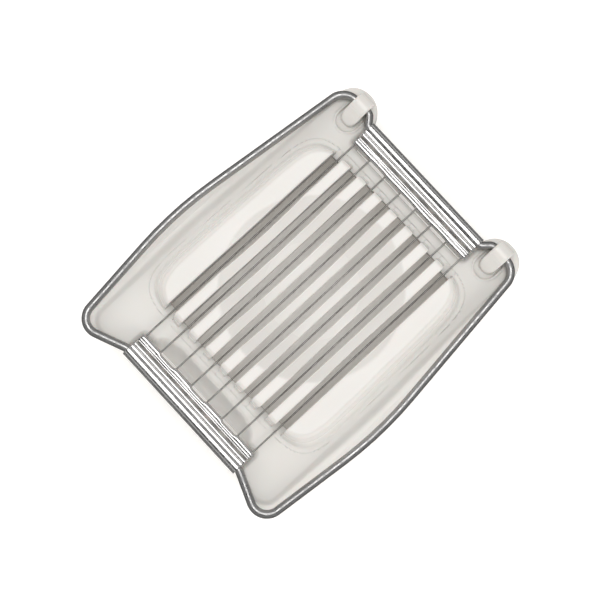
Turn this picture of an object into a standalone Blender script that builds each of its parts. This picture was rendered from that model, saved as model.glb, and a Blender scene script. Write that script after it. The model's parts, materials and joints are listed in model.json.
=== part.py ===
"""Egg slicer, in metres, +Z up, standing on Z = 0 with the hinge at the back (+Y) and the finger notch at
the front (-Y).

A moulded base carries a slotted rest with a round dish for the egg. A bent wire frame turns in two hooks at
the back of the base. Two rolled sheet bars are curled round the frame's wire, and four closed loops of thin
wire are strung between them, so that eight strands pass down through the eight slots.
"""

import math

import bmesh
import bpy
from mathutils import Matrix, Vector

MM = 0.001

# Base: a shell, open below, with a horn at each corner and a notch between the horns at front and back.
WALL = 2.0 * MM
PLATE_TOP = 20.0 * MM
SKIRT_POWER = 4
SKIRT_LEVELS = [9.0 * MM, 13.0 * MM, 16.0 * MM]
EDGE_DROP = 1.2 * MM
EDGE_INSET = 0.7 * MM
NOTCH_HALF = 22.0 * MM
NOTCH_ROUND = 1.5 * MM
BOTTOM_SPREAD = 0.6 * MM
FRONT_WALL = -38.3 * MM
BACK_WALL = 36.2 * MM
BACK_END = 49.5 * MM

# Rest: a rounded block on the plate, with sloping sides.
REST_TOP = 28.0 * MM
REST_CENTRE_Y = 1.0 * MM
REST_FOOT_HALF = (31.4 * MM, 32.3 * MM)
REST_TOP_HALF = (28.8 * MM, 30.7 * MM)
REST_SQUARENESS = 6.0
REST_TAPER = 0.8
REST_EDGE = 0.7 * MM
COMB_HALF = 24.4 * MM
RIM_HOLLOW_HALF = 26.0 * MM

# Dish for the egg, a cap of a sphere.
DISH_CENTRE_Y = 1.4 * MM
DISH_HALF = 24.5 * MM
DISH_DEPTH = 5.8 * MM

# Slots and the strands that run in them.
STRANDS = 8
PITCH = 6.0 * MM
SLOT_WIDTH = 2.95 * MM
SLOT_DRAFT = 0.05
SLOT_BACK_END = 32.1 * MM
SLOT_FRONT_END = -30.1 * MM
SLOT_END_RADIUS = 128.0 * MM
CHANNEL_DEPTH = 0.2 * MM
CHANNEL_RUN = 2.6 * MM

# Finger scoop in the front wall: half width and Y of its back edge, above the plate and at its foot.
SCOOP_TOP = (15.5 * MM, -34.1 * MM)
SCOOP_FOOT = (12.0 * MM, -38.2 * MM)
SCOOP_TOP_Z = PLATE_TOP + 1.0 * MM
SCOOP_FOOT_Z = 8.0 * MM
SCOOP_SPLAY = 4.4 * MM

# Wire frame, and the hooks that hold it.
WIRE_RADIUS = 1.2 * MM
WIRE_GAP = 0.35 * MM
HINGE_Y = 45.2 * MM
FRAME_Z = PLATE_TOP + WIRE_GAP + WIRE_RADIUS
HOOK_X = 27.2 * MM
HOOK_WIDTH = 4.8 * MM
HOOK_THICKNESS = 1.45 * MM
HOOK_TIP_ANGLE = -15.0
HOOK_FOOT_REACH = 6.4 * MM
HOOK_FOOT_Z = PLATE_TOP - 1.5 * MM
HOOK_THROAT = 1.6 * MM
POCKET_RADIUS = 3.1 * MM
POCKET_Y = 40.1 * MM
POCKET_DEPTH = 0.8 * MM

# Bars: sheet curled round the frame's wire, with two beads and four tabs.
SHEET = 0.4 * MM
BAR_HALF = 21.5 * MM
CURL_GAP = 0.2 * MM
CURL_START = -110.0
CURL_END = 150.0
REAR_WIRE_Y = 42.7 * MM
FRONT_WIRE_Y = -44.9 * MM
REAR_TAB_Y = 36.85 * MM
FRONT_TAB_Y = -39.1 * MM
TAB_HALF = 2.5 * MM
TAB_FOOT_Z = 19.6 * MM
SHEET_EDGE_Z = 21.25 * MM
SHEET_BEND = 0.4 * MM
BEADS = 2
BEAD_FLAT = 0.25
VALLEY_Z = 21.3 * MM
BEAD_TOP_Z = 22.3 * MM

# Cutting wire.
STRAND_RADIUS = 0.25 * MM
STRAND_Z = PLATE_TOP + 0.55 * MM
LOOP_CORNER = 0.8 * MM
LOOP_PAST_TAB = 0.75 * MM


def material(name, colour, roughness, metallic=0.0):
    """A Principled material."""
    mat = bpy.data.materials.new(name)
    mat.use_nodes = True
    shader = mat.node_tree.nodes["Principled BSDF"]
    shader.inputs["Base Color"].default_value = (*colour, 1.0)
    shader.inputs["Roughness"].default_value = roughness
    shader.inputs["Metallic"].default_value = metallic
    return mat


def place(name, bm, mat=None):
    """Turns a bmesh into an object, with its faces pointing out."""
    bmesh.ops.recalc_face_normals(bm, faces=bm.faces)
    mesh = bpy.data.meshes.new(name)
    bm.to_mesh(mesh)
    bm.free()
    if mat:
        mesh.materials.append(mat)
    obj = bpy.data.objects.new(name, mesh)
    bpy.context.scene.collection.objects.link(obj)
    return obj


def shade_round(obj, angle=35.0):
    """Smooth shading, apart from edges sharper than the angle in degrees."""
    obj.data.shade_smooth()
    obj.data.set_sharp_from_angle(angle=math.radians(angle))


def combine(target, tool, operation):
    """Adds, cuts or intersects tool with target, and removes the tool."""
    modifier = target.modifiers.new(operation.lower(), "BOOLEAN")
    modifier.operation = operation
    modifier.solver = "EXACT"
    modifier.object = tool
    graph = bpy.context.evaluated_depsgraph_get()
    target.data = bpy.data.meshes.new_from_object(target.evaluated_get(graph))
    target.modifiers.clear()
    bpy.data.objects.remove(tool)


def loft(rings):
    """A closed solid through rings of equally many points, capped at both ends."""
    bm = bmesh.new()
    loops = [[bm.verts.new(p) for p in ring] for ring in rings]
    count = len(loops[0])
    for low, high in zip(loops, loops[1:]):
        for i in range(count):
            j = (i + 1) % count
            bm.faces.new((low[i], low[j], high[j], high[i]))
    bm.faces.new(list(reversed(loops[0])))
    bm.faces.new(loops[-1])
    return bm


def at_height(points, z):
    return [(x, y, z) for x, y in points]


def slab(outline, low, high, axis="Z"):
    """A prism of an outline. Along Z the outline is (x, y); along X it is (y, z)."""
    if axis == "Z":
        return loft([at_height(outline, low), at_height(outline, high)])
    return loft([[(x, y, z) for y, z in outline] for x in (low, high)])


def hull(points):
    """The convex solid round the points."""
    bm = bmesh.new()
    for p in points:
        bm.verts.new(p)
    made = bmesh.ops.convex_hull(bm, input=bm.verts)
    spare = [v for v in made["geom_interior"] if isinstance(v, bmesh.types.BMVert)]
    bmesh.ops.delete(bm, geom=spare, context="VERTS")
    return bm


def arc(centre, radius, start, end, steps):
    """Points on an arc, from the angle start to the angle end, in degrees."""
    points = []
    for i in range(steps + 1):
        a = math.radians(start + (end - start) * i / steps)
        points.append((centre[0] + radius * math.cos(a), centre[1] + radius * math.sin(a)))
    return points


def rounded(corners, steps=6):
    """A closed outline from corners (x, y, radius), each rounded with an arc of the same number of steps."""
    outline = []
    count = len(corners)
    for i, (x, y, radius) in enumerate(corners):
        here = Vector((x, y))
        before = (Vector(corners[i - 1][:2]) - here).normalized()
        after = (Vector(corners[(i + 1) % count][:2]) - here).normalized()
        half = before.angle(after) / 2
        middle = here + (before + after).normalized() * (radius / math.sin(half))
        spoke = here + before * (radius / math.tan(half)) - middle
        sweep = math.pi - 2 * half
        if before.x * after.y - before.y * after.x > 0:
            sweep = -sweep
        for k in range(steps + 1):
            outline.append(tuple(middle + Matrix.Rotation(sweep * k / steps, 2) @ spoke))
    return outline


def inset(corners, depth):
    """The corners of the outline that lies depth inside an outline running anticlockwise."""
    moved = []
    count = len(corners)
    for i, (x, y, radius) in enumerate(corners):
        here = Vector((x, y))
        arriving = (here - Vector(corners[i - 1][:2])).normalized()
        leaving = (Vector(corners[(i + 1) % count][:2]) - here).normalized()
        turn = arriving.x * leaving.y - arriving.y * leaving.x
        inward = Vector((-arriving.y, arriving.x)) + Vector((-leaving.y, leaving.x))
        shift = depth / math.cos(arriving.angle(leaving) / 2)
        spot = here + inward.normalized() * shift
        kept = radius - depth if turn > 0 else radius + depth
        moved.append((spot.x, spot.y, max(kept, 0.4 * MM)))
    return moved


def mirrored(right):
    """Completes the right half of an outline, listed anticlockwise, with its mirror image."""
    return right + [(-x, y, r) for x, y, r in reversed(right)]


def plate_corners():
    """The base's outline at the height of its plate."""
    return mirrored([
        (NOTCH_HALF, FRONT_WALL, NOTCH_ROUND),
        (NOTCH_HALF, -45.2 * MM, NOTCH_ROUND),
        (34.4 * MM, -49.2 * MM, 4.6 * MM),
        (34.7 * MM, -8.0 * MM, 150.0 * MM),
        (34.0 * MM, BACK_END, 5.9 * MM),
        (NOTCH_HALF, BACK_END, 5.9 * MM),
        (NOTCH_HALF, BACK_WALL, NOTCH_ROUND),
    ])


def foot_corners():
    """The base's outline where it stands, spread by the slope of the walls."""
    notch = NOTCH_HALF - BOTTOM_SPREAD
    return mirrored([
        (notch, FRONT_WALL - 1.3 * MM, NOTCH_ROUND),
        (notch, -46.4 * MM, NOTCH_ROUND),
        (37.9 * MM, -51.0 * MM, 6.0 * MM),
        (41.0 * MM, -9.0 * MM, 110.0 * MM),
        (34.8 * MM, BACK_END + 0.8 * MM, 6.4 * MM),
        (notch, BACK_END + 0.8 * MM, 6.4 * MM),
        (notch, BACK_WALL + 1.2 * MM, NOTCH_ROUND),
    ])


def between(low, high, share):
    """The outline at a share of the way from one outline to another."""
    return [(a + (c - a) * share, b + (d - b) * share) for (a, b), (c, d) in zip(low, high)]


def rest_outline(half, steps=64):
    """A rounded square with bowed sides, a little wider at the front."""
    outline = []
    for i in range(steps):
        a = 2 * math.pi * (i + 0.5) / steps
        c, s = math.cos(a), math.sin(a)
        reach = (abs(c) ** REST_SQUARENESS + abs(s) ** REST_SQUARENESS) ** (-1 / REST_SQUARENESS)
        y = half[1] * reach * s
        outline.append((half[0] * reach * c * (1 - REST_TAPER * y), REST_CENTRE_Y + y))
    return outline


def skirt_share(z):
    """How far the bulging skirt has drawn in at a height, from 0 at the foot to 1 at the plate."""
    return (max(z, 0.0) / PLATE_TOP) ** SKIRT_POWER


def skirt(foot, plate, levels):
    """Outlines of the bulging skirt at a list of heights."""
    return [at_height(between(foot, plate, skirt_share(z)), z) for z in levels]


def shell_body():
    """The outer form of the base, before anything is cut away."""
    foot = rounded(foot_corners())
    plate = rounded(plate_corners())
    brow = rounded(inset(plate_corners(), EDGE_INSET))
    rings = [at_height(foot, 0.0)] + skirt(foot, plate, SKIRT_LEVELS + [PLATE_TOP - EDGE_DROP])
    shoulder = between(foot, plate, skirt_share(PLATE_TOP - EDGE_DROP))
    return loft(rings + [
        at_height(between(shoulder, brow, 0.45), PLATE_TOP - EDGE_DROP * 0.3),
        at_height(brow, PLATE_TOP),
    ])


def scoop(grow=0.0):
    """The finger scoop as a cutter, or that cutter grown to keep a wall round it."""
    points = []
    for (half, y), z in ((SCOOP_TOP, SCOOP_TOP_Z), (SCOOP_FOOT, SCOOP_FOOT_Z)):
        for side in (-1, 1):
            points.append((side * (half + grow), y + grow, z - grow))
            points.append((side * (half + SCOOP_SPLAY + grow), y - SCOOP_SPLAY + grow, z - grow))
            points.append((side * (half + SCOOP_SPLAY + grow), 2 * FRONT_WALL, z - grow))
    return hull(points)


def shell_hollow():
    """The space inside the base, open below."""
    low, high = -1.0 * MM, PLATE_TOP - WALL
    foot = rounded(inset(foot_corners(), WALL))
    plate = rounded(inset(plate_corners(), WALL))
    hollow = place("hollow", loft(skirt(foot, plate, [low] + SKIRT_LEVELS + [high])))
    combine(hollow, place("scoop_wall", scoop(WALL)), "DIFFERENCE")
    return hollow


def rest_hollow(side):
    """The space inside the rest's rim, beside the slots."""
    inner = [(half[0] - WALL, half[1] - WALL) for half in (REST_FOOT_HALF, REST_TOP_HALF)]
    hollow = place("rim_hollow", loft([
        at_height(rest_outline(inner[0], 32), PLATE_TOP - 1.25 * WALL),
        at_height(rest_outline(inner[1], 32), REST_TOP - WALL),
    ]))
    x = sorted((side * COMB_HALF, side * 2 * COMB_HALF))
    band = [(x[i], sign * RIM_HOLLOW_HALF) for i, sign in ((0, -1), (1, -1), (1, 1), (0, 1))]
    combine(hollow, place("side", slab(band, 0.0, 2 * REST_TOP)), "INTERSECT")
    return hollow


def rest_body():
    """The rest, before the dish and the slots are cut."""
    half = [(half - REST_EDGE) for half in REST_TOP_HALF]
    return loft([
        at_height(rest_outline(REST_FOOT_HALF), PLATE_TOP - WALL / 2),
        at_height(rest_outline(REST_FOOT_HALF), PLATE_TOP),
        at_height(rest_outline(REST_TOP_HALF), REST_TOP - REST_EDGE),
        at_height(rest_outline(half), REST_TOP),
    ])


def dish_cutter(steps=48, rings=5):
    """The cap of the sphere that forms the dish, closed above the rest."""
    radius = (DISH_HALF ** 2 + DISH_DEPTH ** 2) / (2 * DISH_DEPTH)
    centre_z = REST_TOP - DISH_DEPTH + radius
    reach = DISH_HALF * 1.08
    levels = []
    for k in range(1, rings + 1):
        r = reach * k / rings
        circle = arc((0.0, DISH_CENTRE_Y), r, 0, 360, steps)[:-1]
        levels.append(at_height(circle, centre_z - math.sqrt(radius ** 2 - r ** 2)))
    levels.append(at_height(arc((0.0, DISH_CENTRE_Y), reach, 0, 360, steps)[:-1], REST_TOP + 5 * MM))
    return loft(levels)


def strand_x(index):
    return (index - (STRANDS - 1) / 2) * PITCH


def slot_cutter(x):
    """One slot, wider below than above: an opening down through the plate, and a channel beyond its ends."""
    bow = x ** 2 / (2 * SLOT_END_RADIUS)
    back, front = SLOT_BACK_END - bow, SLOT_FRONT_END + bow
    floor, below, above = PLATE_TOP - CHANNEL_DEPTH, PLATE_TOP - 2 * WALL, REST_TOP + 2 * MM
    side = [
        (front - CHANNEL_RUN, above),
        (front - CHANNEL_RUN, floor),
        (front, floor),
        (front, below),
        (back, below),
        (back, floor),
        (back + CHANNEL_RUN, floor),
        (back + CHANNEL_RUN, above),
    ]
    halves = [SLOT_WIDTH / 2 + SLOT_DRAFT * (REST_TOP - z) for _, z in side]
    return loft([[(x + sign * half, y, z) for (y, z), half in zip(side, halves)] for sign in (-1, 1)])


def hook(side):
    """A clip that rises in front of the frame's wire and closes over it."""
    centre = (HINGE_Y, FRAME_Z)
    inner = WIRE_RADIUS + WIRE_GAP
    outer = inner + HOOK_THICKNESS
    foot_y = HINGE_Y - HOOK_FOOT_REACH
    outside = arc(centre, outer, HOOK_TIP_ANGLE, 130, 10)
    throat = arc((foot_y - HOOK_THROAT * 0.4, FRAME_Z + HOOK_THROAT * 0.25), HOOK_THROAT, -10, -70, 3)
    inside = arc(centre, inner, 180, HOOK_TIP_ANGLE, 10)
    side_view = outside + throat + [(foot_y, HOOK_FOOT_Z), (HINGE_Y - inner, HOOK_FOOT_Z)] + inside
    middle = side * HOOK_X
    return slab(side_view, middle - HOOK_WIDTH / 2, middle + HOOK_WIDTH / 2, axis="X")


def pocket(side):
    """The U-shaped pocket round a hook's foot."""
    centre = (side * HOOK_X, POCKET_Y)
    curve = arc(centre, POCKET_RADIUS, 180, 360, 12)
    back_y = HINGE_Y - WIRE_RADIUS
    outline = curve + [(centre[0] + POCKET_RADIUS, back_y), (centre[0] - POCKET_RADIUS, back_y)]
    return slab(outline, PLATE_TOP - POCKET_DEPTH, PLATE_TOP + 1.0 * MM)


def build_base(mat):
    base = place("base", shell_body(), mat)
    combine(base, place("rest", rest_body()), "UNION")
    combine(base, place("scoop", scoop()), "DIFFERENCE")
    combine(base, shell_hollow(), "DIFFERENCE")
    for side in (-1, 1):
        combine(base, rest_hollow(side), "DIFFERENCE")
    combine(base, place("dish", dish_cutter()), "DIFFERENCE")
    for i in range(STRANDS):
        combine(base, place("slot", slot_cutter(strand_x(i))), "DIFFERENCE")
    for side in (-1, 1):
        combine(base, place("pocket", pocket(side)), "DIFFERENCE")
        combine(base, place("hook", hook(side)), "UNION")
    shade_round(base)
    return base


def tube(name, outline, z, radius, sides, mat):
    """A closed ring of round wire along a closed flat outline."""
    count = len(outline)
    bm = bmesh.new()
    loops = []
    for i, (x, y) in enumerate(outline):
        ahead = Vector(outline[(i + 1) % count]) - Vector((x, y))
        behind = Vector((x, y)) - Vector(outline[i - 1])
        along = (ahead.normalized() + behind.normalized()).normalized()
        across = Vector((along.y, -along.x))
        widen = 1 / math.cos(ahead.angle(behind) / 2)
        loop = []
        for k in range(sides):
            a = 2 * math.pi * (k + 0.5) / sides
            out = radius * math.cos(a) * widen
            loop.append(bm.verts.new((x + across.x * out, y + across.y * out, z + radius * math.sin(a))))
        loops.append(loop)
    for i in range(count):
        here, there = loops[i], loops[(i + 1) % count]
        for k in range(sides):
            m = (k + 1) % sides
            bm.faces.new((here[k], here[m], there[m], there[k]))
    obj = place(name, bm, mat)
    obj.data.shade_smooth()
    return obj


def frame_corners():
    """The middle line of the frame's wire."""
    return mirrored([
        (22.0 * MM, FRONT_WIRE_Y, 3.0 * MM),
        (35.9 * MM, -50.6 * MM, 4.4 * MM),
        (40.2 * MM, -11.1 * MM, 109.0 * MM),
        (33.6 * MM, HINGE_Y, 4.8 * MM),
        (24.2 * MM, HINGE_Y, 1.5 * MM),
        (22.0 * MM, REAR_WIRE_Y, 1.5 * MM),
    ])


def bar_section(wire_y, tab_y):
    """The middle line of a bar's sheet, as (y, z), from the end of the curl to the foot of the tabs."""
    out = 1 if wire_y > 0 else -1
    span = abs(wire_y - tab_y)
    curl = WIRE_RADIUS + CURL_GAP + SHEET / 2
    path = arc((0.0, FRAME_Z), curl, CURL_START, CURL_END, 16)
    start = path[-1][0]
    run = (span + start) / (2 * BEADS + 1)
    for k, height in enumerate((VALLEY_Z, BEAD_TOP_Z) * BEADS):
        middle = start - run * (k + 1)
        for share in (BEAD_FLAT, -BEAD_FLAT):
            path.append((middle + share * run, height))
    path += [(-span, z) for z in (SHEET_EDGE_Z + SHEET_BEND, SHEET_EDGE_Z, TAB_FOOT_Z)]
    return [(wire_y + out * y, z) for y, z in path]


def build_bar(name, wire_y, tab_y, mat):
    """A bar of sheet, curled round the frame's wire at its outer edge."""
    section = bar_section(wire_y, tab_y)
    stations = [-BAR_HALF, BAR_HALF]
    tabs = [(strand_x(i) + strand_x(i + 1)) / 2 for i in range(0, STRANDS, 2)]
    for x in tabs:
        stations += [x - TAB_HALF, x + TAB_HALF]
    stations.sort()
    bm = bmesh.new()
    grid = [[bm.verts.new((x, y, z)) for y, z in section] for x in stations]
    last = len(section) - 2
    for left, right in zip(grid, grid[1:]):
        middle = (left[0].co.x + right[0].co.x) / 2
        on_tab = any(abs(middle - x) < TAB_HALF for x in tabs)
        for k in range(last + 1 if on_tab else last):
            bm.faces.new((left[k], left[k + 1], right[k + 1], right[k]))
    loose = [v for v in bm.verts if not v.link_faces]
    bmesh.ops.delete(bm, geom=loose, context="VERTS")
    bar = place(name, bm, mat)
    solid = bar.modifiers.new("sheet", "SOLIDIFY")
    solid.thickness = SHEET
    solid.offset = 0.0
    solid.use_even_offset = True
    shade_round(bar, 50.0)
    return bar


def build_loop(name, first, mat):
    """A closed loop of cutting wire, strung round one tab of each bar."""
    left, right = strand_x(first), strand_x(first + 1)
    front, back = FRONT_TAB_Y - LOOP_PAST_TAB, REAR_TAB_Y + LOOP_PAST_TAB
    corners = [(left, front), (right, front), (right, back), (left, back)]
    outline = rounded([(x, y, LOOP_CORNER) for x, y in corners], steps=4)
    return tube(name, outline, STRAND_Z, STRAND_RADIUS, 6, mat)


def hang_on_hinge(pieces):
    """Parents the moving pieces to an empty on the hinge's axis."""
    hinge = bpy.data.objects.new("hinge_axis", None)
    hinge.location = (0.0, HINGE_Y, FRAME_Z)
    bpy.context.scene.collection.objects.link(hinge)
    bpy.context.view_layer.update()
    for piece in pieces:
        piece.parent = hinge
        piece.matrix_parent_inverse = hinge.matrix_world.inverted()


def main():
    for obj in list(bpy.data.objects):
        bpy.data.objects.remove(obj)
    plastic = material("ivory_plastic", (0.80, 0.78, 0.74), 0.28)
    chrome = material("chrome_wire", (0.72, 0.72, 0.73), 0.12, 1.0)
    sheet = material("chrome_sheet", (0.75, 0.75, 0.76), 0.18, 1.0)
    steel = material("cutting_steel", (0.45, 0.44, 0.43), 0.3, 1.0)
    build_base(plastic)
    moving = [tube("frame_wire", rounded(frame_corners()), FRAME_Z, WIRE_RADIUS, 12, chrome)]
    moving.append(build_bar("rear_bar", REAR_WIRE_Y, REAR_TAB_Y, sheet))
    moving.append(build_bar("front_bar", FRONT_WIRE_Y, FRONT_TAB_Y, sheet))
    for i in range(STRANDS // 2):
        moving.append(build_loop(f"cutting_wire_loop_{i + 1}", 2 * i, steel))
    hang_on_hinge(moving)


main()
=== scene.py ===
"""The looks of the egg slicer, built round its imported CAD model.

The base is modelled as a field of signed distances, in millimetres, with every edge rounded, and then meshed.
The wire frame, the rolled bars and the cutting wires are swept or folded as fine meshes. All materials are
procedural.
"""

import json
import math

import bmesh
import bpy
import numpy as np
from mathutils import Matrix, Vector


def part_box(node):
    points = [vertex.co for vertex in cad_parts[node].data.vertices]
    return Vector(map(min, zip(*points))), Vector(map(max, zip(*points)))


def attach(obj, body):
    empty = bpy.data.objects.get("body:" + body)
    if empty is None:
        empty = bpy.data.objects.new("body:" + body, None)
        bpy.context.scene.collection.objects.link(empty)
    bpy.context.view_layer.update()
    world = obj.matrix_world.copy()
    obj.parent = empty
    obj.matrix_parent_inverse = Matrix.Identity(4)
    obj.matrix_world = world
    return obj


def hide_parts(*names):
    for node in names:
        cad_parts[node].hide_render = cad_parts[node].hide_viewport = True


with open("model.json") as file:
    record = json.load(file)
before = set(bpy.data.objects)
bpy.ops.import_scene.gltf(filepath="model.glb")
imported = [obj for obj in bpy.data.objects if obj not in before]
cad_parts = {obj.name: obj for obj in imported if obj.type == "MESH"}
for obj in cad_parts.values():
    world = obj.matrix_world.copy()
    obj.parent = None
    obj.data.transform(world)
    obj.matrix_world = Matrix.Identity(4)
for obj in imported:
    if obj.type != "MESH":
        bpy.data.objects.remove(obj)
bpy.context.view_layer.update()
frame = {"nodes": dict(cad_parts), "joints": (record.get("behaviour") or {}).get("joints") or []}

MM = 0.001


def box_mm(node):
    """Lowest and highest corner of a CAD node, in millimetres."""
    low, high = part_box(node)
    return np.array(low) / MM, np.array(high) / MM


# Taken from the frame.
BASE_LOW, BASE_HIGH = box_mm("base")
WIRE_LOW, WIRE_HIGH = box_mm("frame_wire")
LOOPS = sorted(n for n in frame["nodes"] if n.startswith("cutting_wire_loop"))
LOOP_BOXES = [box_mm(n) for n in LOOPS]
_, HINGE_Y, FRAME_Z = (c / MM for c in frame["joints"][0]["pos_m"])
WIRE_RADIUS = (WIRE_HIGH[2] - WIRE_LOW[2]) / 2
STRAND_RADIUS = (LOOP_BOXES[0][1][2] - LOOP_BOXES[0][0][2]) / 2
STRAND_Z = (LOOP_BOXES[0][1][2] + LOOP_BOXES[0][0][2]) / 2
STRAND_X = [x for low, high in LOOP_BOXES for x in (low[0] + STRAND_RADIUS, high[0] - STRAND_RADIUS)]
PITCH = (STRAND_X[-1] - STRAND_X[0]) / (len(STRAND_X) - 1)
REST_TOP = BASE_HIGH[2]

# Lengths are in millimetres, apart from those that a comment gives in metres.

# Base: shell, plate and the two notches.
WALL = 2.0
PLATE_TOP = 20.0
SKIRT_POWER = 4
PLATE_EDGE = 1.1
EAR_EDGE = 2.3
EAR_START, EAR_FULL = 43.0, 47.5
FOOT_EDGE = 0.35
INNER_EDGE = 1.0
NOTCH_HALF = 22.0
NOTCH_ROUND = 1.5
BOTTOM_SPREAD = 0.6
FRONT_WALL = -38.3
BACK_WALL = 36.2
BACK_END = 49.5

# The rest for the egg: half sizes at its foot and its top, and the low step round its foot.
REST_CENTRE_Y = 1.0
REST_FOOT_HALF = (31.4, 32.3)
REST_TOP_HALF = (28.8, 30.7)
REST_BACK_TRIM = 0.8
REST_SHOULDER = 0.7
REST_SQUARENESS = 7.5
REST_TAPER = 0.0008
REST_EDGE = 0.9
REST_FILLET = 0.5
STEP_WIDTH = 1.1
STEP_HEIGHT = 0.22
STEP_EDGE = 0.12
COMB_HALF = 24.4
RIM_HOLLOW_HALF = 26.0

# The round dish in the rest.
DISH_CENTRE_Y = 1.4
DISH_HALF = 24.5
DISH_DEPTH = 5.8
DISH_EDGE = 0.25

# The slots, whose ends lie on shallow arcs, and the gaps in the rest's wall beyond them.
SLOT_HALF = 1.475
SLOT_DRAFT = 0.05
SLOT_BACK_END = 32.1
SLOT_FRONT_END = -30.1
SLOT_END_RADIUS = 128.0
SLOT_EDGE = 0.3
CHANNEL_RISE = 0.24
CHANNEL_RUN = 2.6

# The finger scoop in the front wall.
SCOOP_BACK_Y = -34.1
SCOOP_FOOT_Y = -38.2
SCOOP_BACK_HALF = 15.5
SCOOP_FOOT_HALF = 12.0
SCOOP_TOP_Z = 21.0
SCOOP_FOOT_Z = 8.0
SCOOP_SPLAY = 4.4
SCOOP_CORNER = 2.6
SCOOP_EDGE = 0.9

# The hooks, the pockets round their feet, and the low ring round each pocket. The ramp is a line of y and z.
HOOK_X = 27.2
HOOK_HALF = 2.4
HOOK_INNER = 1.55
HOOK_THICKNESS = 1.45
HOOK_TIP_ANGLE = -15.0
HOOK_EDGE = 0.4
HOOK_FOOT_Y = 38.75
HOOK_RAMP = ((43.27, 23.85), (39.74, 21.67), (38.70, 20.45))
HOOK_NOSE = 1.6
HOOK_BLEND = 0.8
POCKET_RADIUS = 3.1
POCKET_Y = 40.1
POCKET_END_Y = 44.0
POCKET_DEPTH = 0.8
RING_REACH = 0.45
RING_RADIUS = 0.3
RING_SINK = 0.4 * RING_RADIUS
RING_FILLET = 0.5 * RING_RADIUS
RING_END_Y = POCKET_END_Y - 1.0

# Right half of the outline at the height of the plate, and at the foot: x, y and radius of each corner.
PLATE_CORNERS = [
    (NOTCH_HALF, FRONT_WALL, NOTCH_ROUND),
    (NOTCH_HALF, -45.2, NOTCH_ROUND),
    (34.4, -49.2, 4.6),
    (34.7, -8.0, 150.0),
    (34.0, BACK_END, 5.9),
    (NOTCH_HALF, BACK_END, 5.9),
    (NOTCH_HALF, BACK_WALL, NOTCH_ROUND),
]
FOOT_CORNERS = [
    (NOTCH_HALF - BOTTOM_SPREAD, FRONT_WALL - 1.3, NOTCH_ROUND),
    (NOTCH_HALF - BOTTOM_SPREAD, -46.4, NOTCH_ROUND),
    (37.9, -51.0, 6.0),
    (41.0, -9.0, 110.0),
    (34.8, BACK_END + 0.8, 6.4),
    (NOTCH_HALF - BOTTOM_SPREAD, BACK_END + 0.8, 6.4),
    (NOTCH_HALF - BOTTOM_SPREAD, BACK_WALL + 1.2, NOTCH_ROUND),
]

# Wire frame: middle line of its right half, as x, y and radius of each corner.
FRONT_WIRE_Y = -44.9
REAR_WIRE_Y = 42.7
FRAME_CORNERS = [
    (22.0, FRONT_WIRE_Y, 3.0),
    (35.9, -50.6, 4.4),
    (40.2, -11.1, 109.0),
    (33.6, HINGE_Y, 4.8),
    (24.2, HINGE_Y, 1.5),
    (22.0, REAR_WIRE_Y, 1.5),
]
WIRE_TURN_STEP = 3.0
WIRE_SPACING = 1.5
WIRE_SIDES = 32

# Loops of cutting wire.
LOOP_CORNER = 0.8
LOOP_TURN_STEP = 10.0
LOOP_SPACING = 3.0
LOOP_SIDES = 12

# Bars: a sheet curled round the wire, with tabs that hold the loops.
SHEET = 0.4
BAR_HALF = 21.5
CURL_GAP = 0.2
CURL_START, CURL_END = -110.0, 124.0
TAB_HALF = 2.6
TAB_FOOT_Z = 19.6
VALLEY_Z = 21.25
TAB_BEND = 0.02
BAR_STATIONS = 87
CURL_STEPS = 15
SHEET_EDGE = 0.08

# Between the tabs the sheet ends at the valley's height, further inward than this.
SHEET_END_FROM = 5.0

# There its edge steps back: by how much, how far from a tab that starts and is full, and from where inward.
FRONT_RECESS, REAR_RECESS = 0.45, 0.10
RECESS_NEAR, RECESS_FAR = TAB_HALF + 0.2, TAB_HALF + 1.2
RECESS_FROM = 4.2

# Unevenness of the sheet. Each wave has its radians per millimetre along x and along y, and its start, and is
# weaker than the one before.
RIPPLE_HEIGHT = 0.07
RIPPLE_NEAR, RIPPLE_FULL = 1.5, 4.0
RIPPLE_WAVES = ((0.21, 0.9, 0.0), (0.47, -0.6, 1.3), (0.83, 1.7, 2.9), (1.31, 0.4, 4.1))
RIPPLE_PEAK = 1.6
REAR_PHASE, FRONT_PHASE = 0.0, 2.0

# The sheet between the curl and the edge with the tabs, as share of the span and z: a shelf, a groove, a bead
# and a broad second bead.
BAR_PROFILE = [
    (0.215, 22.68),
    (0.275, 22.66),
    (0.312, 22.55),
    (0.345, 22.20),
    (0.380, 22.46),
    (0.440, 22.55),
    (0.500, 22.40),
    (0.570, 21.90),
    (0.640, 21.63),
    (0.740, 21.70),
    (0.790, 21.60),
    (0.870, 21.68),
    (0.945, 21.55),
]

# Spacing of the grid that the base is meshed on, and how many triangles are kept.
STEP = 0.4
KEPT_TRIANGLES = 190000


# ---------------------------------------------------------------- outlines


def mirrored(right):
    """Completes the right half of an outline, listed anticlockwise, with its mirror image."""
    return right + [(-x, y, r) for x, y, r in reversed(right)]


def rounded(corners, turn_step=4.0):
    """A closed outline from corners (x, y, radius), with a point at every few degrees of each turn."""
    outline = []
    count = len(corners)
    for i, (x, y, radius) in enumerate(corners):
        here = Vector((x, y))
        before = (Vector(corners[i - 1][:2]) - here).normalized()
        after = (Vector(corners[(i + 1) % count][:2]) - here).normalized()
        half = before.angle(after) / 2
        middle = here + (before + after).normalized() * (radius / math.sin(half))
        spoke = here + before * (radius / math.tan(half)) - middle
        sweep = math.pi - 2 * half
        steps = max(3, math.ceil(math.degrees(sweep) / turn_step))
        if before.x * after.y - before.y * after.x > 0:
            sweep = -sweep
        for k in range(steps + 1):
            outline.append(tuple(middle + Matrix.Rotation(sweep * k / steps, 2) @ spoke))
    return np.array(outline)


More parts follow.
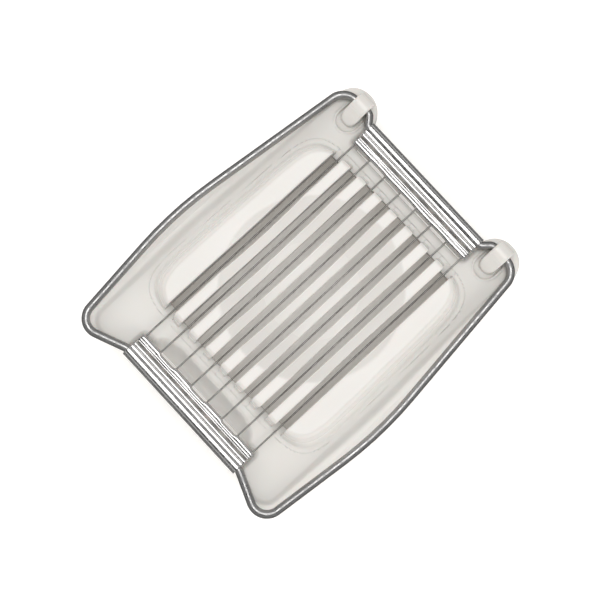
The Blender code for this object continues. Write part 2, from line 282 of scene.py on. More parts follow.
class Outline:
    """Signed distance to a closed flat outline that is its own mirror image, read from a smooth spline."""

    GRID = 0.25
    MARGIN = 3.0

    def __init__(self, corners):
        points = rounded(mirrored(corners))
        low = np.array((-self.MARGIN, points[:, 1].min() - self.MARGIN))
        high = points.max(0) + self.MARGIN
        self.low = low
        shape = np.ceil((high - low) / self.GRID).astype(int) + 1
        x = np.abs(low[0] + self.GRID * np.arange(shape[0]))[:, None]
        y = (low[1] + self.GRID * np.arange(shape[1]))[None, :]
        nearest = np.full(tuple(shape), 1e9)
        inside = np.zeros(tuple(shape), bool)
        for (ax, ay), (bx, by) in zip(points, np.roll(points, -1, axis=0)):
            dx, dy = bx - ax, by - ay
            share = np.clip(((x - ax) * dx + (y - ay) * dy) / (dx * dx + dy * dy), 0, 1)
            nearest = np.minimum(nearest, (x - ax - share * dx) ** 2 + (y - ay - share * dy) ** 2)
            if dy != 0:
                crossing = ((ay > y) != (by > y)) & (x < ax + (y - ay) * dx / dy)
                inside ^= crossing
        self.values = np.where(inside, -1, 1) * np.sqrt(nearest)

    def __call__(self, x, y):
        """Cubic B-spline through the grid, at points in millimetres."""
        u = (np.abs(x) - self.low[0]) / self.GRID
        v = (y - self.low[1]) / self.GRID
        u = np.clip(u, 1, self.values.shape[0] - 3)
        v = np.clip(v, 1, self.values.shape[1] - 3)
        i, j = np.floor(u).astype(int), np.floor(v).astype(int)
        wu, wv = spline_weights(u - i), spline_weights(v - j)
        total = 0
        for a in range(4):
            for b in range(4):
                total = total + wu[a] * wv[b] * self.values[i + a - 1, j + b - 1]
        return total


def spline_weights(t):
    """The four weights of a uniform cubic B-spline."""
    return ((1 - t) ** 3 / 6, (3 * t ** 3 - 6 * t ** 2 + 4) / 6,
            (-3 * t ** 3 + 3 * t ** 2 + 3 * t + 1) / 6, t ** 3 / 6)


# ---------------------------------------------------------------- solids as distances


def both(a, b, radius):
    """Where two solids overlap, with the edge between them rounded."""
    corner = np.hypot(np.maximum(a + radius, 0), np.maximum(b + radius, 0))
    return np.minimum(np.maximum(a, b), -radius) + corner


def either(a, b, radius):
    """Two solids joined, with a fillet between them."""
    return -both(-a, -b, radius)


def without(a, b, radius):
    """One solid cut away from another, with the edge of the cut rounded."""
    return both(a, -b, radius)


def smooth_step(value, start, end):
    """Rises from 0 at start to 1 at end, without a corner at either end."""
    t = np.clip((value - start) / (end - start), 0, 1)
    return t * t * (3 - 2 * t)


def rest_side(x, y, z, grow=0.0):
    """Distance to the sloping side of the rest, a rounded square that is a little wider at the front."""
    rise = np.maximum(z - PLATE_TOP, 0) / (REST_TOP - REST_SHOULDER - PLATE_TOP)
    half_x = REST_FOOT_HALF[0] + (REST_TOP_HALF[0] - REST_FOOT_HALF[0]) * rise + grow
    half_y = REST_FOOT_HALF[1] + (REST_TOP_HALF[1] - REST_FOOT_HALF[1]) * rise + grow
    from_centre = y - REST_CENTRE_Y
    half_y = np.where(from_centre > 0, half_y - REST_BACK_TRIM, half_y)
    u = np.abs(x) / (1 - REST_TAPER * from_centre) / half_x
    v = np.abs(from_centre) / half_y
    n = REST_SQUARENESS
    level = np.maximum(u ** n + v ** n, 1e-3) ** (1 / n)
    slope = np.hypot(u ** (n - 1) / half_x, v ** (n - 1) / half_y) * level ** (1 - n)
    return (level - 1) / np.maximum(slope, 0.01)


def strand_offset(x):
    """How far a point is from the nearest strand's plane, and that strand's x."""
    index = np.clip(np.round((x - STRAND_X[0]) / PITCH), 0, len(STRAND_X) - 1)
    strand = STRAND_X[0] + index * PITCH
    return x - strand, strand


def slots(x, y, z):
    """The eight slots, wider below, and a channel beyond each end that stays just above the plate."""
    offset, strand = strand_offset(x)
    side = np.abs(offset) - SLOT_HALF - SLOT_DRAFT * (REST_TOP - z)
    bow = strand ** 2 / (2 * SLOT_END_RADIUS)
    back, front = SLOT_BACK_END - bow, SLOT_FRONT_END + bow
    middle, reach = (back + front) / 2, (back - front) / 2
    opening = both(side, np.abs(y - middle) - reach, SLOT_EDGE)
    channel = both(side, np.abs(y - middle) - reach - CHANNEL_RUN, SLOT_EDGE)
    return np.minimum(opening, np.maximum(channel, PLATE_TOP + CHANNEL_RISE - z))


def dish(x, y, z):
    """The hollow for the egg, a cap of a sphere."""
    radius = (DISH_HALF ** 2 + DISH_DEPTH ** 2) / (2 * DISH_DEPTH)
    centre_z = REST_TOP - DISH_DEPTH + radius
    return np.sqrt(x ** 2 + (y - DISH_CENTRE_Y) ** 2 + (z - centre_z) ** 2) - radius


def scoop(x, y, z):
    """The finger scoop in the front wall: a back, two slanting and two side faces, above a floor."""
    rise = (z - SCOOP_FOOT_Z) / (SCOOP_TOP_Z - SCOOP_FOOT_Z)
    lean = (SCOOP_BACK_Y - SCOOP_FOOT_Y) / (SCOOP_TOP_Z - SCOOP_FOOT_Z)
    widen = (SCOOP_BACK_HALF - SCOOP_FOOT_HALF) / (SCOOP_TOP_Z - SCOOP_FOOT_Z)
    back_y = SCOOP_FOOT_Y + (SCOOP_BACK_Y - SCOOP_FOOT_Y) * rise
    half = SCOOP_FOOT_HALF + (SCOOP_BACK_HALF - SCOOP_FOOT_HALF) * rise
    back = (y - back_y) / math.hypot(1, lean)
    slant = (np.abs(x) + y - half - back_y) / math.sqrt(2 + (lean + widen) ** 2)
    side = (np.abs(x) - half - SCOOP_SPLAY) / math.hypot(1, widen)
    walls = both(both(back, slant, SCOOP_CORNER), side, SCOOP_CORNER)
    return both(walls, SCOOP_FOOT_Z - z, INNER_EDGE)


def hooks(x, y, z):
    """The two clips: each rises in a ramp before the frame's wire and closes over it."""
    up, back = z - FRAME_Z, y - HINGE_Y
    ring = np.abs(np.hypot(back, up) - HOOK_INNER - HOOK_THICKNESS / 2) - HOOK_THICKNESS / 2
    tip = math.radians(HOOK_TIP_ANGLE)
    below_tip = math.sin(tip) * back - math.cos(tip) * up
    ring = both(ring, np.where(back > 0, below_tip, -up), HOOK_EDGE)
    faces = []
    for (top_y, top_z), (low_y, low_z) in zip(HOOK_RAMP, HOOK_RAMP[1:]):
        length = math.hypot(top_y - low_y, top_z - low_z)
        faces.append(((z - low_z) * (top_y - low_y) - (y - low_y) * (top_z - low_z)) / length)
    ramp = both(both(*faces, HOOK_NOSE), HOOK_FOOT_Y - y, HOOK_EDGE)
    ramp = np.maximum(ramp, back + HOOK_INNER + HOOK_THICKNESS / 2)
    leg = np.maximum(np.abs(back + HOOK_INNER + HOOK_THICKNESS / 2) - HOOK_THICKNESS / 2, up)
    side_view = np.minimum(either(ring, ramp, HOOK_BLEND), np.where(back < 0, leg, ring))
    side_view = np.maximum(side_view, np.maximum(HOOK_INNER - np.hypot(back, up), PLATE_TOP - WALL - z))
    plan = np.hypot(np.abs(x) - HOOK_X, np.minimum(y - HOOK_FOOT_Y - HOOK_HALF, 0)) - HOOK_HALF
    return both(side_view, plan, HOOK_EDGE)


def pocket_plan(x, y):
    """Distance, seen from above, to the U round a hook's foot."""
    return np.hypot(np.abs(x) - HOOK_X, np.minimum(y - POCKET_Y, 0)) - POCKET_RADIUS


class Base:
    """The whole base as one field of distances, negative inside the plastic."""

    def __init__(self):
        self.plate = Outline(PLATE_CORNERS)
        self.foot = Outline(FOOT_CORNERS)

    def __call__(self, x, y, z):
        flat = np.broadcast_arrays(x, y)
        plate, foot = self.plate(*flat), self.foot(*flat)
        share = (np.maximum(z, 0) / PLATE_TOP) ** SKIRT_POWER
        wall = foot + (plate - foot) * share
        edge = PLATE_EDGE + (EAR_EDGE - PLATE_EDGE) * smooth_step(y, EAR_START, EAR_FULL)
        body = both(wall, z - PLATE_TOP, edge)
        step = both(rest_side(x, y, z, STEP_WIDTH), z - PLATE_TOP - STEP_HEIGHT, STEP_EDGE)
        body = either(body, step, STEP_EDGE)
        side = rest_side(x, y, z)
        rest = both(side, z - REST_TOP, REST_EDGE)
        body = either(body, rest, REST_FILLET)
        cut = scoop(x, y, z)
        body = without(body, cut, SCOOP_EDGE)
        hollow = both(wall + WALL, z - PLATE_TOP + WALL, INNER_EDGE)
        hollow = both(hollow, WALL - cut, INNER_EDGE)
        rim = both(side + WALL, z - REST_TOP + WALL, INNER_EDGE)
        rim = both(rim, COMB_HALF - np.abs(x), FOOT_EDGE)
        rim = both(rim, np.abs(y) - RIM_HOLLOW_HALF, INNER_EDGE)
        rim = np.maximum(rim, PLATE_TOP - WALL - INNER_EDGE * 2 - z)
        hollow = np.minimum(hollow, rim)
        body = without(body, hollow, FOOT_EDGE)
        body = both(body, -z, FOOT_EDGE)
        body = without(body, dish(x, y, z), DISH_EDGE)
        body = without(body, slots(x, y, z), SLOT_EDGE)
        plan = pocket_plan(x, y)
        pocket = np.maximum(both(plan, PLATE_TOP - POCKET_DEPTH - z, RING_RADIUS), y - POCKET_END_Y)
        body = without(body, pocket, RING_RADIUS)
        ring = np.hypot(plan - RING_REACH, z - PLATE_TOP + RING_SINK) - RING_RADIUS
        ring = np.maximum(ring, y - RING_END_Y)
        body = either(body, ring, RING_FILLET)
        return either(body, hooks(x, y, z), RING_RADIUS)


# ---------------------------------------------------------------- meshing a field


def surface_net(values, origin, step):
    """Points and quads of the surface where a grid of distances crosses zero, facing out."""
    inside = values < 0
    count = np.zeros(tuple(n - 1 for n in values.shape), np.int8)
    for corner in np.ndindex(2, 2, 2):
        count += inside[tuple(slice(c, c + n) for c, n in zip(corner, count.shape))]
    mixed = (count > 0) & (count < 8)
    index = np.full(mixed.shape, -1, np.int32)
    index[mixed] = np.arange(mixed.sum())
    cells = np.argwhere(mixed)
    total, hits = np.zeros((len(cells), 3)), np.zeros(len(cells))
    quads = []
    for axis in range(3):
        unit = np.eye(3, dtype=int)[axis]
        u, v = np.eye(3, dtype=int)[(axis + 1) % 3], np.eye(3, dtype=int)[(axis + 2) % 3]
        for a in (0, 1):
            for b in (0, 1):
                low = cells + a * u + b * v
                first, second = values[tuple(low.T)], values[tuple((low + unit).T)]
                cross = (first < 0) != (second < 0)
                share = first[cross] / (first[cross] - second[cross])
                total[cross] += low[cross] + share[:, None] * unit
                hits[cross] += 1
        below = inside[tuple(slice(0, n - d) for n, d in zip(inside.shape, unit))]
        above = inside[tuple(slice(d, n) for n, d in zip(inside.shape, unit))]
        edges = np.argwhere(below != above)
        edges = edges[((edges @ u) > 0) & ((edges @ v) > 0)]
        ring = np.stack([index[tuple((edges - shift).T)] for shift in (0 * u, u, u + v, v)], 1)
        flip = ~below[tuple(edges.T)]
        ring[flip] = ring[flip][:, ::-1]
        quads.append(ring)
    return origin + step * total / hits[:, None], np.concatenate(quads)


def slope_of(field, points, reach=0.02):
    """The field's gradient at points."""
    parts = []
    for axis in range(3):
        shift = np.eye(3)[axis] * reach
        ahead, behind = points + shift, points - shift
        parts.append((field(*ahead.T) - field(*behind.T)) / (2 * reach))
    return np.stack(parts, 1)


def settle(field, points, limit, rounds=3):
    """Moves points onto the field's surface."""
    for _ in range(rounds):
        slope = slope_of(field, points)
        size = np.maximum((slope ** 2).sum(1), 0.2)
        move = slope * (field(*points.T) / size)[:, None]
        length = np.maximum(np.linalg.norm(move, axis=1), 1e-9)
        points = points - move * np.minimum(1, limit / length)[:, None]
    return points


def mesh_field(name, field, low, high, step):
    """An object for a field's surface: meshed, thinned where it is flat, and shaded by the field itself."""
    axes = [np.arange(a - 1.5 * step, b + 2.5 * step, step, dtype=np.float32) for a, b in zip(low, high)]
    shape = tuple(len(a) for a in axes)
    values = np.empty(shape, np.float32)
    values[:] = field(axes[0][:, None, None], axes[1][None, :, None], axes[2][None, None, :])
    points, quads = surface_net(values, np.array([a[0] for a in axes]), step)
    points = settle(field, points, step / 2)
    obj = mesh_object(name, points * MM, quads)
    share = KEPT_TRIANGLES / (2 * len(quads))
    if share < 1:
        thin = obj.modifiers.new("thin", "DECIMATE")
        thin.ratio = share
        graph = bpy.context.evaluated_depsgraph_get()
        obj.data = bpy.data.meshes.new_from_object(obj.evaluated_get(graph))
        obj.modifiers.clear()
    mesh = obj.data
    points = np.empty(len(mesh.vertices) * 3)
    mesh.vertices.foreach_get("co", points)
    points = settle(field, points.reshape(-1, 3) / MM, step / 4, 2)
    mesh.vertices.foreach_set("co", (points * MM).ravel())
    normals = slope_of(field, points)
    normals /= np.maximum(np.linalg.norm(normals, axis=1), 1e-9)[:, None]
    mesh.shade_smooth()
    mesh.normals_split_custom_set_from_vertices(normals.tolist())
    mesh.update()
    return obj


# ---------------------------------------------------------------- objects


def mesh_object(name, points, faces):
    """A new object from points in metres and faces."""
    mesh = bpy.data.meshes.new(name)
    mesh.from_pydata([tuple(p) for p in points], [], [tuple(map(int, f)) for f in faces])
    mesh.update()
    obj = bpy.data.objects.new(name, mesh)
    bpy.context.scene.collection.objects.link(obj)
    return obj


def finish_piece(obj, body, slot, mat, *nodes):
    """Gives a piece its material and its body, and hides the CAD nodes that it stands for. The slot is not
    used.
    """
    obj.data.materials.clear()
    obj.data.materials.append(mat)
    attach(obj, body)
    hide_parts(*nodes)


def spread_points(outline, spacing):
    """Adds points along the straight runs of a closed outline."""
    dense = []
    for a, b in zip(outline, np.roll(outline, -1, axis=0)):
        steps = max(1, int(np.linalg.norm(b - a) / spacing))
        dense += [a + (b - a) * k / steps for k in range(steps)]
    return np.array(dense)


def closed_tube(name, outline, z, radius, sides):
    """A ring of round wire along a closed flat outline, in millimetres."""
    ahead = np.roll(outline, -1, axis=0) - outline
    behind = outline - np.roll(outline, 1, axis=0)
    ahead /= np.linalg.norm(ahead, axis=1)[:, None]
    behind /= np.linalg.norm(behind, axis=1)[:, None]
    along = ahead + behind
    along /= np.linalg.norm(along, axis=1)[:, None]
    across = np.stack([along[:, 1], -along[:, 0]], 1)
    angle = 2 * math.pi * (np.arange(sides) + 0.5) / sides
    flat = outline[:, None] + across[:, None] * (radius * np.cos(angle))[None, :, None]
    height = np.broadcast_to(z + radius * np.sin(angle), flat.shape[:2])
    points = np.concatenate([flat, height[..., None]], 2).reshape(-1, 3)
    count = len(outline)
    i, k = np.divmod(np.arange(count * sides), sides)
    j, m = (i + 1) % count, (k + 1) % sides
    quads = np.stack([i * sides + k, i * sides + m, j * sides + m, j * sides + k], 1)
    obj = mesh_object(name, points * MM, quads)
    obj.data.shade_smooth()
    return obj


# ---------------------------------------------------------------- bars


def smooth_curve(points, steps=5):
    """A Catmull-Rom curve through points."""
    p = np.array(points, float)
    p = np.vstack([2 * p[0] - p[1], p, 2 * p[-1] - p[-2]])
    curve = []
    for a, b, c, d in zip(p, p[1:], p[2:], p[3:]):
        for t in np.arange(steps) / steps:
            curve.append(0.5 * (2 * b + (c - a) * t + (2 * a - 5 * b + 4 * c - d) * t ** 2
                                + (3 * b - a - 3 * c + d) * t ** 3))
    curve.append(p[-2])
    return np.array(curve)


def bar_section(span):
    """The middle line of a bar's sheet, from curl to tab foot, as distance inward from the wire and z."""
    curl = WIRE_RADIUS + CURL_GAP + SHEET / 2
    angles = np.radians(np.linspace(CURL_START, CURL_END, CURL_STEPS))
    path = [(-curl * math.cos(a), FRAME_Z + curl * math.sin(a)) for a in angles]
    path += [(inward * span, z) for inward, z in BAR_PROFILE]
    path += [(span, VALLEY_Z), (span + TAB_BEND, (VALLEY_Z + TAB_FOOT_Z) / 2), (span, TAB_FOOT_Z)]
    return smooth_curve(path)


def ripple(x, y, phase):
    """Slow unevenness of rolled sheet, between about -1 and 1."""
    total = 0
    for k, (along, across, start) in enumerate(RIPPLE_WAVES):
        total += np.sin(along * x + across * y + start + phase) / (1 + k)
    return total / RIPPLE_PEAK


def build_bar(name, wire_y, tab_y, recess, phase):
    """A bar of sheet, curled round the frame's wire, with a tab for each cutting wire loop."""
    outward = math.copysign(1, wire_y)
    section = bar_section(abs(wire_y - tab_y))
    off_valley = np.abs(section[:, 1] - VALLEY_Z)
    on_sheet = int(np.argmin(np.where(section[:, 0] < SHEET_END_FROM, np.inf, off_valley)))
    tabs = [(a + b) / 2 for a, b in zip(STRAND_X[::2], STRAND_X[1::2])]
    stations = np.linspace(-BAR_HALF, BAR_HALF, BAR_STATIONS)
    for x in tabs:
        stations[np.argmin(np.abs(stations - x + TAB_HALF))] = x - TAB_HALF
        stations[np.argmin(np.abs(stations - x - TAB_HALF))] = x + TAB_HALF
    points, faces = [], []
    rows = len(section)
    for x in stations:
        gap = smooth_step(min(abs(x - tab) for tab in tabs), RECESS_NEAR, RECESS_FAR)
        for k, (inward, z) in enumerate(section):
            short = recess * gap * smooth_step(inward, RECESS_FROM, section[on_sheet][0])
            y = wire_y - outward * (inward - short)
            free = smooth_step(inward, RIPPLE_NEAR, RIPPLE_FULL) * (k <= on_sheet)
            points.append((x, y, z + RIPPLE_HEIGHT * free * ripple(x, y, phase)))
    for i in range(len(stations) - 1):
        middle = (stations[i] + stations[i + 1]) / 2
        last = rows - 1 if min(abs(middle - x) for x in tabs) < TAB_HALF else on_sheet
        for k in range(last):
            a = i * rows + k
            faces.append((a, a + 1, a + rows + 1, a + rows))
    bar = mesh_object(name, np.array(points) * MM, faces)
    bm = bmesh.new()
    bm.from_mesh(bar.data)
    bmesh.ops.delete(bm, geom=[v for v in bm.verts if not v.link_faces], context="VERTS")
    bmesh.ops.recalc_face_normals(bm, faces=bm.faces)
    bm.to_mesh(bar.data)
    bm.free()
    solid = bar.modifiers.new("sheet", "SOLIDIFY")
    solid.thickness = SHEET * MM
    solid.offset = 0.0
    solid.use_even_offset = True
    edge = bar.modifiers.new("edge", "BEVEL")
    edge.width = SHEET_EDGE * MM
    edge.segments = 2
    edge.limit_method = "ANGLE"
    edge.angle_limit = math.radians(60)
    bar.data.shade_smooth()
    return bar


# ---------------------------------------------------------------- materials


def fill_ramp(node, stops):
    """Sets a colour ramp's stops, each a position and a colour or a brightness."""
    elements = node.color_ramp.elements
    while len(elements) < len(stops):
        elements.new(0.5)
    for element, (position, tone) in zip(elements, stops):
        colour = tone if isinstance(tone, tuple) else (tone, tone, tone)
        element.position = position
        element.color = (*colour, 1.0)


class Nodes:
    """Short names for making and linking a material's nodes."""

    def __init__(self, name):
        self.material = bpy.data.materials.new(name)
        self.material.use_nodes = True
        self.tree = self.material.node_tree
        self.shader = self.tree.nodes["Principled BSDF"]

    def add(self, kind, **settings):
        node = self.tree.nodes.new(kind)
        for key, value in settings.items():
            setattr(node, key, value)
        return node

    def link(self, source, target):
        self.tree.links.new(source, target)

    def object_point(self):
        return self.add("ShaderNodeTexCoord").outputs["Object"]

    def noise(self, point, scale, detail=3.0, roughness=0.5):
        node = self.add("ShaderNodeTexNoise")
        node.inputs["Scale"].default_value = scale
        node.inputs["Detail"].default_value = detail
        node.inputs["Roughness"].default_value = roughness
        self.link(point, node.inputs["Vector"])
        return node.outputs["Fac"]

    def ramp(self, factor, stops):
        node = self.add("ShaderNodeValToRGB")
        fill_ramp(node, stops)
        self.link(factor, node.inputs["Fac"])
        return node.outputs["Color"]

    def spread(self, value, start, end):
        """Spreads a value, as ranges (from, to), and clamps it."""
        node = self.add("ShaderNodeMapRange")
        node.inputs["From Min"].default_value, node.inputs["From Max"].default_value = start
        node.inputs["To Min"].default_value, node.inputs["To Max"].default_value = end
        self.link(value, node.inputs["Value"])
        return node.outputs["Result"]

    def bump(self, height, strength, distance, normal=None):
        node = self.add("ShaderNodeBump")
        node.inputs["Strength"].default_value = strength
        node.inputs["Distance"].default_value = distance
        self.link(height, node.inputs["Height"])
        if normal:
            self.link(normal, node.inputs["Normal"])
        return node.outputs["Normal"]

    def constant(self, **values):
        for key, value in values.items():
            self.shader.inputs[key.replace("_", " ")].default_value = value


# Plastic: tones and roughness of the plate and of the rest, which blend between two heights. The rest's tones
# are a little darker than the plate's: painted shade on one and the same plastic.
PLATE_TONES = [(0.30, (0.625, 0.604, 0.568)), (0.70, (0.660, 0.640, 0.606))]
SHADED_REST_TONES = [(0.30, (0.618, 0.596, 0.562)), (0.70, (0.650, 0.628, 0.596))]
BLEND_HEIGHTS = ((PLATE_TOP + 0.6) * MM, (PLATE_TOP + 4.0) * MM)
PLATE_ROUGHNESS, REST_ROUGHNESS = 0.46, 0.22
CLOUD_ROUGHNESS = 0.08

# Noise has a scale, a detail and for some a roughness. Bump has a strength and a depth in metres.
PLASTIC_CLOUDS = (45.0, 3.0)
PLASTIC_WAVES, PLASTIC_WAVE_BUMP = (120.0, 2.0), (0.25, 0.00012)
PLASTIC_GRAIN, PLASTIC_GRAIN_BUMP = (1400.0, 2.0), (0.08, 0.00003)


def plastic_material():
    """Ivory moulded plastic: polished on the rest, slightly duller on the plate, with faint marks. The rest's
    tone is painted a little darker than the plate's, as painted shade.
    """
    n = Nodes("ivory_plastic_fine_shaded_rest")
    point = n.object_point()
    height = n.add("ShaderNodeSeparateXYZ")
    n.link(point, height.inputs["Vector"])
    level = n.spread(height.outputs["Z"], BLEND_HEIGHTS, (0.0, 1.0))
    clouds = n.noise(point, *PLASTIC_CLOUDS)
    colour = n.add("ShaderNodeMix", data_type="RGBA")
    n.link(level, colour.inputs["Factor"])
    n.link(n.ramp(clouds, PLATE_TONES), colour.inputs["A"])
    # The rest's darker tones are painted shade.
    n.link(n.ramp(clouds, SHADED_REST_TONES), colour.inputs["B"])
    n.link(colour.outputs["Result"], n.shader.inputs["Base Color"])
    vary = n.add("ShaderNodeMath", operation="MULTIPLY_ADD")
    n.link(clouds, vary.inputs[0])
    vary.inputs[1].default_value = CLOUD_ROUGHNESS
    n.link(n.spread(level, (0.0, 1.0), (PLATE_ROUGHNESS, REST_ROUGHNESS)), vary.inputs[2])
    n.link(vary.outputs["Value"], n.shader.inputs["Roughness"])
    normal = n.bump(n.noise(point, *PLASTIC_WAVES), *PLASTIC_WAVE_BUMP)
    normal = n.bump(n.noise(point, *PLASTIC_GRAIN), *PLASTIC_GRAIN_BUMP, normal)
    n.link(normal, n.shader.inputs["Normal"])
    n.constant(IOR=1.5, Subsurface_Weight=0.08, Subsurface_Scale=0.0015)
    return n.material


# Metals: colour, roughness, and the scale and strength of their slow waves.
# The frame wire's chrome has a darker colour than the sheet's: painted shade that dims the wire's
# reflections.
SHADED_WIRE_CHROME = ((0.42, 0.415, 0.41), 0.25, 260.0, 0.25)
SHEET_CHROME = ((0.68, 0.67, 0.66), 0.15, 110.0, 0.15)
# The cutting steel's colour is darkened: painted shade that stands for the strands' dark outlines and
# shadows.
SHADED_CUTTING_STEEL = ((0.42, 0.41, 0.39), 0.34, 600.0, 0.2)
METAL_CLOUDS = (180.0, 4.0, 0.6)
METAL_DULLNESS = 0.86
METAL_HAZE = (900.0, 3.0, 0.7)
HAZE_RANGE = (0.35, 0.70)
HAZE_ROUGHNESS = 2.2
METAL_WAVE_DEPTH = 0.0002
SCRATCHES, SCRATCH_BUMP = (2500.0, 2.0), (0.03, 0.00003)


def metal_material(name, colour, roughness, wave, strength):
    """Bright metal, slightly uneven, with hazy patches and fine scratches."""
    n = Nodes(name)
    point = n.object_point()
    dull = tuple(METAL_DULLNESS * c for c in colour)
    tint = n.ramp(n.noise(point, *METAL_CLOUDS), [(0.35, dull), (0.65, colour)])
    n.link(tint, n.shader.inputs["Base Color"])
    rough = n.spread(n.noise(point, *METAL_HAZE), HAZE_RANGE, (roughness, roughness * HAZE_ROUGHNESS))
    n.link(rough, n.shader.inputs["Roughness"])
    normal = n.bump(n.noise(point, wave, 2.0), strength, METAL_WAVE_DEPTH)
    normal = n.bump(n.noise(point, *SCRATCHES), *SCRATCH_BUMP, normal)
    n.link(normal, n.shader.inputs["Normal"])
    n.constant(Metallic=1.0)
    return n.material


# ---------------------------------------------------------------- stage, light and camera

# Floor: half its side and how far it lies below the object, in metres, then its colours.
FLOOR_HALF = 3.0
FLOOR_GAP = 0.0002
FLOOR_COLOUR = (0.97, 0.965, 0.955, 1.0)
FLOOR_IN_GLOSS = (0.25, 0.25, 0.25, 1.0)
FLOOR_GLOW_COLOUR = (1.0, 0.92, 0.83, 1.0)
FLOOR_GLOW = 0.14

# Brightness of the surroundings by the height of the direction, from 0 at the horizon to 1 overhead.
MATT_SKY = [(0.0, 1.0), (0.35, 0.9), (1.0, 0.40)]
GLOSS_SKY = [(0.0, 0.10), (0.20, 0.08), (0.34, 0.65), (0.60, 0.65), (0.72, 0.10), (0.95, 0.10)]
SKY_STRENGTH = 0.95


def build_stage():
    """A plain pale floor with a faint glow, which polish shows darker."""
    half = FLOOR_HALF
    points = [(-half, -half, 0), (half, -half, 0), (half, half, 0), (-half, half, 0)]
    floor = mesh_object("floor", points, [(0, 1, 2, 3)])
    floor.location.z = -FLOOR_GAP
    n = Nodes("floor_paper")
    n.constant(Base_Color=FLOOR_COLOUR, Roughness=0.9, Specular_IOR_Level=0.0)
    n.constant(Emission_Color=FLOOR_GLOW_COLOUR, Emission_Strength=FLOOR_GLOW)
    path = n.add("ShaderNodeLightPath")
    grey = n.add("ShaderNodeEmission")
    mix = n.add("ShaderNodeMixShader")
    grey.inputs["Color"].default_value = FLOOR_IN_GLOSS
    n.link(path.outputs["Is Glossy Ray"], mix.inputs["Fac"])
    n.link(n.shader.outputs["BSDF"], mix.inputs[1])
    n.link(grey.outputs["Emission"], mix.inputs[2])
    n.link(mix.outputs["Shader"], n.tree.nodes["Material Output"].inputs["Surface"])
    floor.data.materials.append(n.material)


def build_world():
    """Soft studio surroundings. Matt surfaces see an even glow, and polish sees bands of light and dark."""
    world = bpy.data.worlds.new("studio")
    world.use_nodes = True
    bpy.context.scene.world = world
    tree = world.node_tree
    background = tree.nodes["Background"]
    coords = tree.nodes.new("ShaderNodeTexCoord")
    split = tree.nodes.new("ShaderNodeSeparateXYZ")
    tree.links.new(coords.outputs["Generated"], split.inputs["Vector"])
    path = tree.nodes.new("ShaderNodeLightPath")
    mix = tree.nodes.new("ShaderNodeMix")
    mix.data_type = "RGBA"
    tree.links.new(path.outputs["Is Glossy Ray"], mix.inputs["Factor"])
    for socket, stops in (("A", MATT_SKY), ("B", GLOSS_SKY)):
        ramp = tree.nodes.new("ShaderNodeValToRGB")
        fill_ramp(ramp, stops)
        tree.links.new(split.outputs["Z"], ramp.inputs["Fac"])
        tree.links.new(ramp.outputs["Color"], mix.inputs[socket])
    tree.links.new(mix.outputs["Result"], background.inputs["Color"])
    background.inputs["Strength"].default_value = SKY_STRENGTH


# Each light's name, place and size in metres, power in watts, and whether polish shows it.
LIGHTS = [
    ("overhead_softbox", (-0.035, 0.05, 0.65), (0.42, 0.42), 2.0, True),
    ("right_panel", (0.45, -0.08, 0.18), (0.35, 0.20), 1.0, False),
    ("left_panel", (-0.45, -0.10, 0.18), (0.35, 0.20), 0.7, False),
]


def build_light(name, place, size, watts, in_gloss):
    """A soft rectangular light that faces the object."""
    data = bpy.data.lights.new(name, "AREA")
    data.shape = "RECTANGLE"
    data.size, data.size_y = size
    data.energy = watts
    light = bpy.data.objects.new(name, data)
    light.location = place
    aim = Vector((0, 0, PLATE_TOP * MM)) - Vector(place)
    light.rotation_euler = aim.to_track_quat("-Z", "Y").to_euler()
    light.visible_glossy = in_gloss
    bpy.context.scene.collection.objects.link(light)


# Camera: angles in degrees, distance, target and clip start in metres, lens and sensor in millimetres.
CAMERA_AZIMUTH = 35.0
CAMERA_ELEVATION = 86.0
CAMERA_ROLL = 47.27
CAMERA_DISTANCE = 310.0 * MM
CAMERA_TARGET = Vector((-0.19, -2.47, PLATE_TOP)) * MM
CAMERA_LENS = 69.52
CAMERA_CLIP = 0.01
SENSOR = 36.0


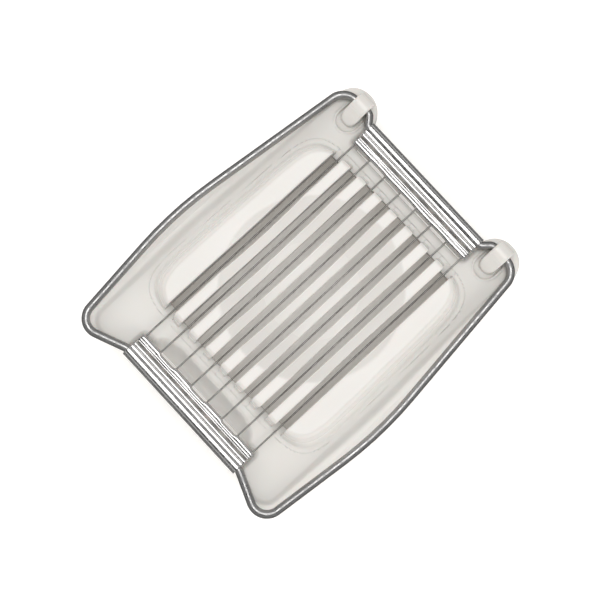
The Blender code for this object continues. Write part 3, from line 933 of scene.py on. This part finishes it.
def build_camera():
    """Almost straight above the object, turned so that the hinge is at the upper right."""
    azimuth, elevation = math.radians(CAMERA_AZIMUTH), math.radians(CAMERA_ELEVATION)
    level = math.cos(elevation)
    back = Vector((math.sin(azimuth) * level, -math.cos(azimuth) * level, math.sin(elevation)))
    right = Vector((0, 1, 0)).cross(back).normalized()
    up = back.cross(right)
    roll = math.radians(CAMERA_ROLL)
    turned_right = right * math.cos(roll) + up * math.sin(roll)
    turned_up = up * math.cos(roll) - right * math.sin(roll)
    data = bpy.data.cameras.new("camera")
    data.lens = CAMERA_LENS
    data.sensor_width = SENSOR
    data.sensor_fit = "HORIZONTAL"
    data.clip_start = CAMERA_CLIP
    camera = bpy.data.objects.new("camera", data)
    turn = Matrix((turned_right, turned_up, back)).transposed().to_4x4()
    camera.matrix_world = Matrix.Translation(CAMERA_TARGET + back * CAMERA_DISTANCE) @ turn
    bpy.context.scene.collection.objects.link(camera)
    bpy.context.scene.camera = camera


# ---------------------------------------------------------------- the scene


def main():
    """Builds the camera, the studio and the eight pieces."""
    bpy.context.scene.view_settings.view_transform = "Standard"
    build_camera()
    build_stage()
    build_world()
    for light in LIGHTS:
        build_light(*light)

    plastic = plastic_material()
    # The wire chrome's darker colour is painted shade on its reflections.
    shaded_wire_chrome = metal_material("chrome_wire_fine_shaded", *SHADED_WIRE_CHROME)
    sheet_chrome = metal_material("chrome_sheet_fine", *SHEET_CHROME)
    # The cutting steel's darkened colour is painted shade.
    shaded_steel = metal_material("cutting_steel_fine_shaded", *SHADED_CUTTING_STEEL)

    base = mesh_field("moulded_base", Base(), BASE_LOW, BASE_HIGH, STEP)
    finish_piece(base, "stand", "ivory_plastic", plastic, "base")

    frame_line = spread_points(rounded(mirrored(FRAME_CORNERS), WIRE_TURN_STEP), WIRE_SPACING)
    ring = closed_tube("bent_wire_frame", frame_line, FRAME_Z, WIRE_RADIUS, WIRE_SIDES)
    finish_piece(ring, "cutting_frame", "chrome_wire", shaded_wire_chrome, "frame_wire")

    bars = (
        ("rolled_rear_bar", "rear_bar", REAR_WIRE_Y, REAR_RECESS, REAR_PHASE),
        ("rolled_front_bar", "front_bar", FRONT_WIRE_Y, FRONT_RECESS, FRONT_PHASE),
    )
    for name, node, wire_y, recess, phase in bars:
        low, high = box_mm(node)
        tab_y = low[1] + SHEET / 2 if wire_y > 0 else high[1] - SHEET / 2
        bar = build_bar(name, wire_y, tab_y, recess, phase)
        finish_piece(bar, "cutting_frame", "chrome_sheet", sheet_chrome, node)

    for node, (low, high) in zip(LOOPS, LOOP_BOXES):
        x0, y0 = low[:2] + STRAND_RADIUS
        x1, y1 = high[:2] - STRAND_RADIUS
        corners = [(x, y, LOOP_CORNER) for x, y in ((x0, y0), (x1, y0), (x1, y1), (x0, y1))]
        line = spread_points(rounded(corners, LOOP_TURN_STEP), LOOP_SPACING)
        loop = closed_tube(node.replace("loop", "strands"), line, STRAND_Z, STRAND_RADIUS, LOOP_SIDES)
        finish_piece(loop, "cutting_frame", "cutting_steel", shaded_steel, node)


main()
